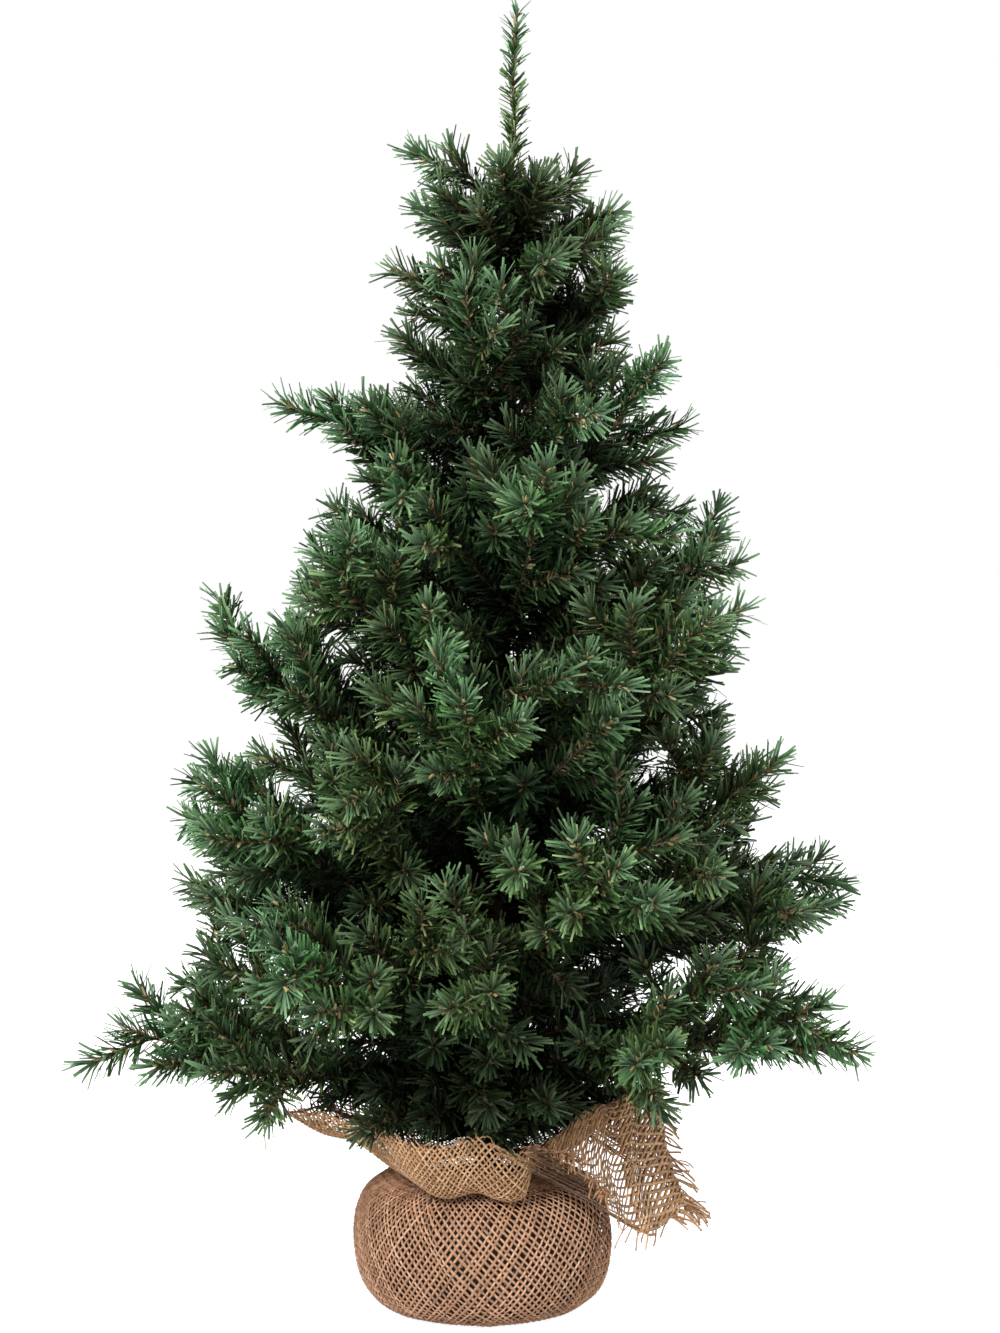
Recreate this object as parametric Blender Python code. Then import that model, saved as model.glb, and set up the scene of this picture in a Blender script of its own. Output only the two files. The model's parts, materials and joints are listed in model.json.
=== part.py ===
"""Artificial tabletop tree in a burlap-wrapped base.

Metres, +Z up. The origin is the centre of the burlap's flat underside, and the front faces -Y.
A steel rod stands in a cement puck and carries a spiral of wire branches, each with its sleeve
of PVC needles. Every branch hinges at its root, about a level axis that runs past the trunk.
"""

import math
import random

import bpy
import numpy as np
from mathutils import Matrix, Vector

# Crown
TREE_HEIGHT = 0.610          # floor to the tip of the leader's needles
TRUNK_LEAN = math.radians(1.5)  # towards +X
CROWN_FOOT = 0.101           # root of the lowest branch
CROWN_HEAD = 0.428           # root of the highest branch
REACH_FOOT = 0.186           # trunk's centre to main tip, lowest branch
REACH_HEAD = 0.054           # trunk's centre to main tip, highest branch
REACH_HOLLOW = 1.15          # over 1 draws the crown's middle in, as on a narrow fir
RISE_FOOT = math.radians(11)  # slope from root to main tip, lowest branch
RISE_HEAD = math.radians(52)  # slope from root to main tip, highest branch
RISE_EARLY = 0.6             # under 1 steepens the branches mostly in the crown's foot
BRANCH_COUNT = 26
FIRST_HEADING = math.radians(188)
GOLDEN_ANGLE = math.radians(137.508)
DROOP = math.radians(8)      # how much flatter a branch leaves the trunk than it ends
UNEVENNESS = 0.05            # share by which reach and twig length vary
SEED = 14
TURN_STEP = math.radians(2)  # steps by which a branch is moved aside to find free space
SLIDE_STEP = 0.0025
ROLL_STEP = math.radians(12)  # by which all its twigs roll round the stem
MOST_STEPS = 8

# Branch stems and needles
WIRE_RADIUS = 0.0009         # two twisted 0.9 mm wires
NEEDLE_RADIUS = 0.0084       # firm part of the needle sleeve
BARE_ROOT = 0.016            # stem left bare of needles at its root
WIRE_SHORT = 0.004           # by which a wire ends inside its needles
TWIGS_FOOT = 6               # side twigs on the lowest branch
TWIGS_HEAD = 4               # side twigs on the highest branch
FIRST_TWIG = 0.22            # share of the stem before its first twig
LAST_TWIG = 0.70
TWIG_SPREAD = math.radians(41)
TWIG_ROLLS = (10, 170, 46, 134, -22, 202)  # degrees round the stem, 0 to the right and 90 up
TWIG_SHARE = 0.86            # twig length against the length of stem beyond its fork
HINGE_STANDOFF = 0.0014      # root of a stem's centre line from the tape
TWIG_ROOT_SHARE = 0.5        # a twig wire's first ring, inside the stem, against its radius
SLEEVE_ROOT_SHARE = 0.7      # radius of a sleeve's ends against its middle
SLEEVE_TIP_SHARE = 0.8
MOST_BARE_SHARE = 0.8        # of the stem before its first fork
STEM_SIDES = 4
TWIG_SIDES = 3
SLEEVE_SIDES = 5

# Folding
FOLD_UP = math.radians(24)
BEND_DOWN = math.radians(-8)
FOLD_STEPS = 7
LEADER_TILT = math.radians(15)  # each way

# Leader, the upright top shoot
LEADER_ROOT = 0.464
LEADER_TWIGS = 5
LEADER_TWIG_HEIGHT = 0.014   # first fork above the leader's root
LEADER_TWIG_STEP = 0.007
LEADER_TWIG_LENGTH = 0.052
LEADER_TWIG_SLOPE = math.radians(44)
LEADER_NEEDLE_RADIUS = 0.0075
LEADER_HEADING = math.radians(20)

# Trunk
ROD_RADIUS = 0.003
ROD_SOCKET_DEPTH = 0.040
TAPE_RADIUS_FOOT = 0.0060
TAPE_RADIUS_HEAD = 0.0045
TRUNK_SIDES = 12

# Base
PUCK_RADIUS = 0.0552
PUCK_HEIGHT = 0.050
PUCK_LOWER_ROUND = 0.012
PUCK_UPPER_ROUND = 0.008
BASE_SIDES = 32

# Burlap
BURLAP_THICKNESS = 0.0020
NECK_RADIUS = 0.0255
NECK_HEIGHT = 0.0640
TWINE_RADIUS = 0.0012
KNOT_RADIUS = 0.0024
KNOT_HEADING = math.radians(245)
FLAT_ALLOWANCE = 1.08        # the neck's flats lie nearer its axis than its corners
SHOULDER_REACH = 0.010       # cloth lying on the puck's top, beyond the neck
SHOULDER_RISE = 0.0012
COLLAR_SAG = 0.003           # bow of the collar below its fold and beyond it
# The collar above the tie: heading in degrees, then the radius and height of its fold and of its
# rim. The cloth's corners stand out at the left and the back, and one hangs down at the right.
COLLAR = (
    (5, 0.072, 0.092, 0.091, 0.044),
    (32, 0.064, 0.090, 0.080, 0.066),
    (62, 0.050, 0.076, 0.064, 0.088),
    (98, 0.052, 0.078, 0.080, 0.092),
    (138, 0.047, 0.074, 0.062, 0.086),
    (172, 0.052, 0.080, 0.076, 0.090),
    (194, 0.056, 0.080, 0.092, 0.094),
    (222, 0.051, 0.072, 0.070, 0.089),
    (262, 0.049, 0.067, 0.060, 0.086),
    (292, 0.044, 0.067, 0.052, 0.080),
    (312, 0.044, 0.072, 0.056, 0.078),
    (338, 0.062, 0.090, 0.078, 0.074),
)

CLEARANCE = 0.0003           # between pieces that touch
SLEEVE_GAP = 0.0006          # between needle sleeves of two branches
WIRE_GAP = 0.0004            # between wires of two branches, at any fold

COLOURS = {
    "cement": (0.55, 0.53, 0.50, 1.0),
    "steel": (0.42, 0.41, 0.38, 1.0),
    "tape": (0.13, 0.075, 0.035, 1.0),
    "burlap": (0.42, 0.25, 0.13, 1.0),
    "twine": (0.22, 0.12, 0.05, 1.0),
    "wire": (0.20, 0.17, 0.10, 1.0),
    "needles": (0.030, 0.075, 0.040, 1.0),
}
METALLIC = {"steel": 1.0, "wire": 0.6}
ROUGHNESS = {"steel": 0.45, "wire": 0.5, "needles": 0.6, "tape": 0.5}


# ---------------------------------------------------------------- scene helpers

def clear_scene():
    for obj in list(bpy.data.objects):
        bpy.data.objects.remove(obj, do_unlink=True)


def material(name):
    """The named material, made on first use."""
    found = bpy.data.materials.get(name)
    if found:
        return found
    made = bpy.data.materials.new(name)
    made.use_nodes = True
    shader = made.node_tree.nodes["Principled BSDF"]
    shader.inputs["Base Color"].default_value = COLOURS[name]
    shader.inputs["Roughness"].default_value = ROUGHNESS.get(name, 0.9)
    shader.inputs["Metallic"].default_value = METALLIC.get(name, 0.0)
    return made


def add_object(name, mesh, material_name, parent=None, smooth=True):
    """An object whose mesh is given in world coordinates, hung under parent if one is given."""
    mesh.materials.clear()
    mesh.materials.append(material(material_name))
    if smooth:
        mesh.shade_smooth()
    obj = bpy.data.objects.new(name, mesh)
    bpy.context.scene.collection.objects.link(obj)
    if parent:
        mesh.transform(Matrix.Translation(-parent.location))
        obj.parent = parent
    return obj


def add_pivot(name, location, axis):
    """An empty on a joint, which keeps the joint's axis in its hinge_axis."""
    pivot = bpy.data.objects.new(name, None)
    pivot.location = location
    pivot.empty_display_size = 0.01
    pivot["hinge_axis"] = list(axis)
    bpy.context.scene.collection.objects.link(pivot)
    return pivot


def mesh_from(name, points, faces):
    mesh = bpy.data.meshes.new(name)
    mesh.from_pydata([tuple(p) for p in points], [], faces)
    mesh.update()
    return mesh


def combined(name, base, operation, tools):
    """The mesh left when each tool mesh in turn is united with base or cut from it."""
    scene = bpy.context.scene.collection
    body = bpy.data.objects.new(name, base)
    scene.objects.link(body)
    helpers = []
    for tool in tools:
        helper = bpy.data.objects.new(name + "_tool", tool)
        scene.objects.link(helper)
        helpers.append(helper)
        step = body.modifiers.new("combine", "BOOLEAN")
        step.operation = operation
        step.solver = "EXACT"
        step.object = helper
    bpy.context.view_layer.update()
    evaluated = body.evaluated_get(bpy.context.evaluated_depsgraph_get())
    result = bpy.data.meshes.new_from_object(evaluated)
    result.name = name
    for obj in [body, *helpers]:
        bpy.data.objects.remove(obj, do_unlink=True)
    return result


# ---------------------------------------------------------------- shapes

def ring_frame(direction, near):
    """Two unit vectors across direction, the first as close to near as it can be."""
    across = near - direction * near.dot(direction)
    across.normalize()
    return across, direction.cross(across)


def tube(name, points, radii, sides):
    """A closed tube through points, with a flat cap on each end."""
    verts, faces = [], []
    last = len(points) - 1
    near = Vector((0.31, 0.17, 0.93))
    for n, point in enumerate(points):
        ahead = points[min(n + 1, last)] - points[max(n - 1, 0)]
        across, other = ring_frame(ahead.normalized(), near)
        near = across
        for s in range(sides):
            turn = math.tau * s / sides
            verts.append(point + radii[n] * (math.cos(turn) * across + math.sin(turn) * other))
    for n in range(last):
        for s in range(sides):
            a, b = n * sides + s, n * sides + (s + 1) % sides
            faces.append((a, b, b + sides, a + sides))
    faces.append(tuple(reversed(range(sides))))
    faces.append(tuple(last * sides + s for s in range(sides)))
    return mesh_from(name, verts, faces)


def turned(name, profile, sides, centre=Vector((0, 0, 0))):
    """A solid of revolution about an upright axis: profile runs from its lowest centre point,
    up its outer side, to its highest centre point. End points on the axis close it."""
    verts, faces = [], []
    first, *rings, final = profile
    verts.append(centre + Vector((0, 0, first[1])))
    for radius, height in rings:
        for s in range(sides):
            turn = math.tau * s / sides
            verts.append(centre + Vector((radius * math.cos(turn), radius * math.sin(turn), height)))
    verts.append(centre + Vector((0, 0, final[1])))
    top = len(verts) - 1
    for s in range(sides):
        after = (s + 1) % sides
        faces.append((0, 1 + after, 1 + s))
        for n in range(len(rings) - 1):
            a, b = 1 + n * sides + s, 1 + n * sides + after
            faces.append((a, b, b + sides, a + sides))
        faces.append((top - sides + s, top - sides + after, top))
    return mesh_from(name, verts, faces)


def rounded(radius, low, high, low_round, high_round, steps=2):
    """Outer side of an upright cylinder with rounded edges, from its underside to its top."""
    side = []
    for n in range(steps + 1):
        turn = math.radians(-90 + 90 * n / steps)
        side.append((radius - low_round * (1 - math.cos(turn)), low + low_round * (1 + math.sin(turn))))
    for n in range(steps + 1):
        turn = math.radians(90 * n / steps)
        side.append((radius - high_round * (1 - math.cos(turn)), high - high_round * (1 - math.sin(turn))))
    return side


# ---------------------------------------------------------------- base

def puck_floor():
    return BURLAP_THICKNESS + CLEARANCE


def puck_top():
    return puck_floor() + PUCK_HEIGHT


def neck_ends():
    """Heights between which the gathered neck is straight, so the knot fits against it."""
    half = KNOT_RADIUS + 2 * CLEARANCE
    return NECK_HEIGHT - half, NECK_HEIGHT + half


def trunk_point(height):
    """The trunk's centre at a height."""
    return Vector((height * math.tan(TRUNK_LEAN), 0, height))


def make_base_weight():
    """Cement puck with a socket for the rod."""
    side = rounded(PUCK_RADIUS, puck_floor(), puck_top(), PUCK_LOWER_ROUND, PUCK_UPPER_ROUND)
    profile = [(0, puck_floor()), *side, (0, puck_top())]
    puck = turned("base_weight", profile, BASE_SIDES)
    socket_floor = puck_top() - ROD_SOCKET_DEPTH
    socket = tube(
        "socket",
        [trunk_point(socket_floor - CLEARANCE), trunk_point(puck_top() + 0.01)],
        [ROD_RADIUS + CLEARANCE] * 2,
        TRUNK_SIDES,
    )
    add_object("base_weight", combined("base_weight", puck, "DIFFERENCE", [socket]), "cement")


def tape_radius(height):
    share = (height - puck_top()) / (LEADER_ROOT - puck_top())
    return TAPE_RADIUS_FOOT + (TAPE_RADIUS_HEAD - TAPE_RADIUS_FOOT) * share


def make_trunk():
    """Rod, and the tape wound on it between the puck and the leader."""
    rod_foot = trunk_point(puck_top() - ROD_SOCKET_DEPTH)
    rod_head = trunk_point(LEADER_ROOT - 2 * CLEARANCE - WIRE_RADIUS)
    rod = tube("trunk_rod", [rod_foot, rod_head], [ROD_RADIUS] * 2, TRUNK_SIDES)
    add_object("trunk_rod", rod, "steel")
    low = puck_top() + CLEARANCE
    high = LEADER_ROOT - 4 * CLEARANCE - WIRE_RADIUS
    tape = tube(
        "trunk_tape",
        [trunk_point(low), trunk_point(high)],
        [tape_radius(low), tape_radius(high)],
        TRUNK_SIDES,
    )
    bore = tube(
        "bore",
        [trunk_point(low - 0.01), trunk_point(high + 0.01)],
        [ROD_RADIUS + CLEARANCE] * 2,
        TRUNK_SIDES,
    )
    add_object("trunk_tape", combined("trunk_tape", tape, "DIFFERENCE", [bore]), "tape")


def collar_at(heading):
    """Radius and height of the collar's fold and rim at a heading, eased between its stations."""
    degrees = math.degrees(heading) % 360
    stations = list(COLLAR) + [(COLLAR[0][0] + 360, *COLLAR[0][1:])]
    if degrees < stations[0][0]:
        degrees += 360
    for here, after in zip(stations, stations[1:]):
        if degrees <= after[0]:
            share = (degrees - here[0]) / (after[0] - here[0])
            ease = share * share * (3 - 2 * share)
            return [a + (b - a) * ease for a, b in zip(here[1:], after[1:])]
    return list(stations[-1][1:])


def burlap_rings(heading):
    """The wrap's outer surface at one heading, from its underside out, up and over to the rim."""
    outer = PUCK_RADIUS + CLEARANCE + BURLAP_THICKNESS
    skin = CLEARANCE + BURLAP_THICKNESS
    rings = rounded(outer, 0, puck_top() + skin, PUCK_LOWER_ROUND + skin, PUCK_UPPER_ROUND + skin)
    low_neck, high_neck = neck_ends()
    rings.append((NECK_RADIUS + SHOULDER_REACH, puck_top() + skin + SHOULDER_RISE))
    rings.append((NECK_RADIUS, low_neck))
    rings.append((NECK_RADIUS, high_neck))
    fold_radius, fold_height, rim_radius, rim_height = collar_at(heading)
    root = Vector((NECK_RADIUS, high_neck))
    fold = Vector((fold_radius, fold_height))
    rim = Vector((rim_radius, rim_height))
    knee = (root + fold) / 2 + Vector((COLLAR_SAG, 0))
    shelf = (fold + rim) / 2 + (rim - fold).orthogonal().normalized() * COLLAR_SAG
    rings += [tuple(knee), tuple(fold), tuple(shelf), tuple(rim)]
    return rings


def make_burlap_wrap():
    """The burlap as one thick shell: flat underside, puck wall, tied neck, flared collar."""
    columns = [burlap_rings(math.tau * s / BASE_SIDES) for s in range(BASE_SIDES)]
    count = len(columns[0])
    verts = [Vector((0, 0, 0))]
    faces = []
    for s, column in enumerate(columns):
        turn = math.tau * s / BASE_SIDES
        verts += [Vector((r * math.cos(turn), r * math.sin(turn), z)) for r, z in column]
    for s in range(BASE_SIDES):
        here, after = 1 + s * count, 1 + (s + 1) % BASE_SIDES * count
        faces.append((0, after, here))
        for n in range(count - 1):
            faces.append((here + n, after + n, after + n + 1, here + n + 1))
    wrap = add_object("burlap_wrap", mesh_from("burlap_wrap", verts, faces), "burlap")
    shell = wrap.modifiers.new("thickness", "SOLIDIFY")
    shell.thickness = BURLAP_THICKNESS
    shell.offset = -1


def make_twine_tie():
    """Ring of twine round the neck, with its knot."""
    sides = 6
    major = NECK_RADIUS + CLEARANCE + TWINE_RADIUS * FLAT_ALLOWANCE
    verts, faces = [], []
    for s in range(BASE_SIDES):
        turn = math.tau * s / BASE_SIDES
        for k in range(sides):
            roll = math.tau * k / sides
            out = major + TWINE_RADIUS * math.cos(roll)
            height = NECK_HEIGHT + TWINE_RADIUS * math.sin(roll)
            verts.append((out * math.cos(turn), out * math.sin(turn), height))
    for s in range(BASE_SIDES):
        here, after = s * sides, (s + 1) % BASE_SIDES * sides
        for k in range(sides):
            up = (k + 1) % sides
            faces.append((here + k, after + k, after + up, here + up))
    ring = mesh_from("twine_tie", verts, faces)
    out = NECK_RADIUS + CLEARANCE + KNOT_RADIUS * FLAT_ALLOWANCE
    centre = Vector((out * math.cos(KNOT_HEADING), out * math.sin(KNOT_HEADING), NECK_HEIGHT))
    bulge = [(0, -KNOT_RADIUS)]
    for n in range(1, 4):
        turn = math.radians(-90 + 45 * n)
        bulge.append((KNOT_RADIUS * math.cos(turn), KNOT_RADIUS * math.sin(turn)))
    bulge.append((0, KNOT_RADIUS))
    knot = turned("knot", bulge, 8, centre)
    add_object("twine_tie", combined("twine_tie", ring, "UNION", [knot]), "twine")


# ---------------------------------------------------------------- branch layout

def bent(start, control, end, share):
    """Point on the quadratic curve from start to end that leaves towards control."""
    return start * (1 - share) ** 2 + control * 2 * share * (1 - share) + end * share ** 2


def along_stem(stem, share):
    """Point and direction at a share of a stem whose runs take equal shares."""
    place = share * (len(stem) - 1)
    run = min(int(place), len(stem) - 2)
    ahead = stem[run + 1] - stem[run]
    return stem[run] + ahead * (place - run), ahead.normalized()


class Shoot:
    """A stem and its twigs: where it hinges and how far, and the lines that its wires follow."""

    def __init__(self, name, pivot, axis, swing, stem, twigs, needle_radius):
        self.name = name
        self.pivot = pivot
        self.axis = axis
        self.swing = swing
        self.stem = stem
        self.twigs = twigs
        self.needle_radius = needle_radius
        self.turned_runs = {}

    def lines(self):
        return [self.stem, *self.twigs]

    def bare_root(self):
        """Length of stem without needles, which end below the first fork."""
        return min(BARE_ROOT, MOST_BARE_SHARE * (self.twigs[0][0] - self.stem[0]).length)

    def segments(self, angle=0.0, needled=False):
        """Start and end points of every straight run, or of those in needles, turned by angle."""
        if (angle, needled) in self.turned_runs:
            return self.turned_runs[angle, needled]
        starts, ends = [], []
        for n, line in enumerate(self.lines()):
            runs = list(zip(line, line[1:]))
            if n == 0 and needled:
                along = (line[1] - line[0]).normalized()
                runs[0] = (line[0] + along * self.bare_root(), line[1])
            starts += [a for a, _ in runs]
            ends += [b for _, b in runs]
        turn = np.array(Matrix.Rotation(angle, 3, self.axis))
        pivot = np.array(self.pivot)
        runs = [(np.array(p) - pivot) @ turn.T + pivot for p in (starts, ends)]
        self.turned_runs[angle, needled] = runs
        return runs


def nearest_gap(first, second):
    """Shortest distance between two sets of straight runs."""
    p, u = first[0][:, None], (first[1] - first[0])[:, None]
    q, v = second[0][None], (second[1] - second[0])[None]
    w = p - q
    a, b, c = (u * u).sum(-1), (u * v).sum(-1), (v * v).sum(-1)
    d, e = (u * w).sum(-1), (v * w).sum(-1)
    s = np.clip((b * e - c * d) / np.maximum(a * c - b * b, 1e-14), 0, 1)
    t = np.clip((b * s + e) / c, 0, 1)
    s = np.clip((b * t - d) / a, 0, 1)
    apart = w + s[..., None] * u - t[..., None] * v
    return float(np.sqrt((apart * apart).sum(-1)).min())


def clears(shoot, others):
    """Whether a shoot's needles stand clear of the others, and its wires do at every fold."""
    wire_space = 2 * WIRE_RADIUS + WIRE_GAP
    for other in others:
        space = shoot.needle_radius + other.needle_radius + SLEEVE_GAP
        if nearest_gap(shoot.segments(needled=True), other.segments(needled=True)) < space:
            return False
        pairs = [(fold, 0.0) for fold in np.linspace(*shoot.swing, FOLD_STEPS)]
        pairs += [(0.0, fold) for fold in np.linspace(*other.swing, FOLD_STEPS)]
        pairs += list(zip(shoot.swing, other.swing))
        for mine, its in pairs:
            if nearest_gap(shoot.segments(mine), other.segments(its)) < wire_space:
                return False
    return True


def branch_shoot(number, heading, slide, mirrored, rolled, dice):
    """Branch `number`, counted from the lowest, leaving the trunk towards heading."""
    share = number / (BRANCH_COUNT - 1)
    # each branch gets an equal share of the crown's surface, so they stand closer at the foot
    square = REACH_FOOT ** 2 - share * (REACH_FOOT ** 2 - REACH_HEAD ** 2)
    up = (REACH_FOOT - math.sqrt(square)) / (REACH_FOOT - REACH_HEAD)
    height = CROWN_FOOT + up * (CROWN_HEAD - CROWN_FOOT) + slide
    reach = REACH_HEAD + (REACH_FOOT - REACH_HEAD) * (1 - up) ** REACH_HOLLOW
    reach *= 1 + dice[0] * UNEVENNESS
    slope = RISE_FOOT + up ** RISE_EARLY * (RISE_HEAD - RISE_FOOT)

    out = Vector((math.cos(heading), math.sin(heading), 0))
    axis = Vector((math.sin(heading), -math.cos(heading), 0))
    pivot = trunk_point(height) + out * (tape_radius(height) + CLEARANCE + HINGE_STANDOFF)
    tip = trunk_point(height) + out * reach + Vector((0, 0, reach * math.tan(slope)))
    length = (tip - pivot).length
    leave = slope - DROOP
    control = pivot + (out * math.cos(leave) + Vector((0, 0, math.sin(leave)))) * length / 2
    stem = [bent(pivot, control, tip, n / 3) for n in range(4)]

    twigs = []
    count = round(TWIGS_FOOT + up * (TWIGS_HEAD - TWIGS_FOOT))
    for n in range(count):
        along = FIRST_TWIG + (LAST_TWIG - FIRST_TWIG) * n / (count - 1)
        fork, ahead = along_stem(stem, along)
        roll = math.radians(TWIG_ROLLS[n]) + rolled
        if mirrored:
            roll = math.pi - roll
        above = axis.cross(ahead)
        sideways = axis * math.cos(roll) + above * math.sin(roll)
        aim = ahead * math.cos(TWIG_SPREAD) + sideways * math.sin(TWIG_SPREAD)
        reach_on = length * (1 - along) * TWIG_SHARE * (1 + dice[1 + n] * UNEVENNESS)
        twigs.append([fork, fork + aim * reach_on])
    swing = (BEND_DOWN, FOLD_UP)
    return Shoot(f"branch_{number + 1:02d}", pivot, axis, swing, stem, twigs, NEEDLE_RADIUS)


def leader_shoot():
    """The upright top shoot, hinged at the rod's head, with a whorl of short twigs."""
    pivot = trunk_point(LEADER_ROOT)
    tip = trunk_point(TREE_HEIGHT)
    ahead = (tip - pivot).normalized()
    stem = [pivot.lerp(tip, n / 3) for n in range(4)]
    twigs = []
    for n in range(LEADER_TWIGS):
        heading = LEADER_HEADING + n * GOLDEN_ANGLE
        out = Vector((math.cos(heading), math.sin(heading), 0))
        fork = pivot + ahead * (LEADER_TWIG_HEIGHT + n * LEADER_TWIG_STEP)
        aim = out * math.cos(LEADER_TWIG_SLOPE) + Vector((0, 0, math.sin(LEADER_TWIG_SLOPE)))
        twigs.append([fork, fork + aim * LEADER_TWIG_LENGTH])
    swing = (-LEADER_TILT, LEADER_TILT)
    return Shoot("leader", pivot, Vector((0, 1, 0)), swing, stem, twigs, LEADER_NEEDLE_RADIUS)


def moves_aside():
    """Small turns round the trunk, slides up it, flips and rolls of a branch, smallest first."""
    for step in range(MOST_STEPS + 1):
        for slide in range(min(step, 2) + 1):
            for side in (1, -1) if step else (1,):
                for roll in (0, 1, -1):
                    for flip in (0, 1):
                        yield side * step * TURN_STEP, slide * SLIDE_STEP, flip, roll * ROLL_STEP


def all_shoots():
    """The leader and every branch, each moved to the nearest place where it clears the rest."""
    luck = random.Random(SEED)
    shoots = [leader_shoot()]
    for number in range(BRANCH_COUNT):
        dice = [luck.uniform(-1, 1) for _ in range(1 + TWIGS_FOOT)]
        heading = FIRST_HEADING + number * GOLDEN_ANGLE
        for turn, slide, flip, rolled in moves_aside():
            mirrored = (number + flip) % 2
            shoot = branch_shoot(number, heading + turn, slide, mirrored, rolled, dice)
            if clears(shoot, shoots):
                break
        shoots.append(shoot)
    return shoots


# ---------------------------------------------------------------- branch solids

def wire_mesh(shoot, extra, name):
    """The shoot's wires, each thicker by extra, united into one solid."""
    radius = WIRE_RADIUS + extra
    meshes = []
    for n, line in enumerate(shoot.lines()):
        ahead = (line[1] - line[0]).normalized()
        end = (line[-1] - line[-2]).normalized()
        points = [line[0] - ahead * extra, *line[1:-1], line[-1] - end * (WIRE_SHORT - extra)]
        if n:
            # a twig's first ring lies inside the stem
            points[0] = line[0]
            meshes.append(tube(name, points, [radius * TWIG_ROOT_SHARE, radius], TWIG_SIDES))
        else:
            meshes.append(tube(name, points, [radius] * len(points), STEM_SIDES))
    return combined(name, meshes[0], "UNION", meshes[1:])


def needle_mesh(shoot, name):
    """The closed sleeve of needles round a shoot's wires, hollow where they run."""
    radius = shoot.needle_radius
    meshes = []
    for n, line in enumerate(shoot.lines()):
        ahead = (line[1] - line[0]).normalized()
        start = line[0] + ahead * (0.0 if n else shoot.bare_root())
        points = [start, *line[1:]]
        root, tip = radius * SLEEVE_ROOT_SHARE, radius * SLEEVE_TIP_SHARE
        radii = [root, *[radius] * (len(line) - 2), tip]
        meshes.append(tube(name, points, radii, SLEEVE_SIDES))
    sleeve = combined(name, meshes[0], "UNION", meshes[1:])
    # the flats of a hollow with few sides lie closer to the wire than its corners
    hollow = wire_mesh(shoot, CLEARANCE / math.cos(math.pi / TWIG_SIDES), name + "_core")
    return combined(name, sleeve, "DIFFERENCE", [hollow])


def make_shoot(shoot):
    pivot = add_pivot(shoot.name + "_pivot", shoot.pivot, shoot.axis)
    wire = wire_mesh(shoot, 0.0, shoot.name + "_wire")
    add_object(shoot.name + "_wire", wire, "wire", pivot)
    needles = needle_mesh(shoot, shoot.name + "_needles")
    add_object(shoot.name + "_needles", needles, "needles", pivot)


def make_tree():
    clear_scene()
    make_base_weight()
    make_trunk()
    make_burlap_wrap()
    make_twine_tie()
    for shoot in all_shoots():
        make_shoot(shoot)


if __name__ == "__main__":
    make_tree()
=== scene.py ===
"""Looks of the artificial tabletop tree: needles, twisted wires, burlap, twine, lights, camera."""

import json
import math
import random

import bpy
import numpy as np
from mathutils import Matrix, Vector


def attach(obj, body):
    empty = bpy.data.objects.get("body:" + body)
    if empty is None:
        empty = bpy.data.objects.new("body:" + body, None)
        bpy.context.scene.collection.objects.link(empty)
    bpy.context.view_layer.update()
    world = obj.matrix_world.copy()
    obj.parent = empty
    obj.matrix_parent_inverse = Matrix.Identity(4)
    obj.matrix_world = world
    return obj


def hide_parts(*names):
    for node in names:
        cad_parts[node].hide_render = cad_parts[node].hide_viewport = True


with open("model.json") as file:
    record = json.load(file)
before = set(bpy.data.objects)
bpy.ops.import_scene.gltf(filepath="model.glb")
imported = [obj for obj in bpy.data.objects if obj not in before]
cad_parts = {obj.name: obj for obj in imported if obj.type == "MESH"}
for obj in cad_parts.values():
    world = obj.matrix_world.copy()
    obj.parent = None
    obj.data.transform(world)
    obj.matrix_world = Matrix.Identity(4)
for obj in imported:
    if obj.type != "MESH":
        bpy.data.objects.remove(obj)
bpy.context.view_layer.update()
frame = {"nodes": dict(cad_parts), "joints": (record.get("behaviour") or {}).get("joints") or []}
joints = {joint["child"]: joint for joint in frame["joints"]}

# Crown, as the frame's branches are laid out
BRANCH_COUNT = 26
CROWN_SEED = 14
NEEDLE_SEED, CLOTH_SEED = 7, 11
TRUNK_LEAN = math.radians(1.5)
REACH_FOOT, REACH_HEAD, REACH_HOLLOW = 0.186, 0.054, 1.15
RISE_FOOT, RISE_HEAD, RISE_EARLY = math.radians(11), math.radians(52), 0.6
DROOP = math.radians(8)
UNEVENNESS = 0.05
TWIGS_FOOT, TWIGS_HEAD = 6, 4
FIRST_TWIG, LAST_TWIG = 0.22, 0.70
TWIG_SPREAD = math.radians(41)
TWIG_ROLLS = (10, 170, 46, 134, -22, 202)
ROLL_STEP = math.radians(12)
TWIG_SHARE = 0.86
WIRE_SHORT = 0.004
LEADER_TWIGS = 5
LEADER_TWIG_HEIGHT, LEADER_TWIG_STEP, LEADER_TWIG_LENGTH = 0.014, 0.007, 0.052
LEADER_TWIG_SLOPE = math.radians(44)
LEADER_HEADING = math.radians(20)
GOLDEN_ANGLE = math.radians(137.508)
TREE_HEIGHT = 0.610
LAYOUT_TOLERANCE = 0.003     # how far a line may stray from the frame's wire

# Needles
NEEDLE_LENGTH = 0.0132
NEEDLE_WIDTH = 0.00135
NEEDLE_KEEL = 0.00035        # depth of the fold along a needle's middle
NEEDLES_PER_METRE = 2700
NEEDLE_LEAN = math.radians(50)  # between a needle and its wire
TUFT_LENGTH = 0.012          # end of a wire where the needles turn forwards
FLECKS_PER_METRE = 900       # short brown scales along the wire
FLECK_LENGTH = 0.0046
BARE_ROOT = 0.006            # wire left bare beside the tape
SPRIG_EVERY = 0.022          # short side shoots that fill the crown's inside
SPRIG_LENGTH = 0.034
ROOT_SPRIG_AIMS = (          # longer shoots at a branch's root: how far out, sideways and up
    (0.45, 0.75, 0.45), (0.45, -0.75, 0.45), (0.55, 0.25, 0.85), (0.70, -0.55, 0.15), (0.70, 0.55, 0.10),
)
ROOT_SPRIG_SHARE = 0.36      # their length against the branch's
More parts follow.
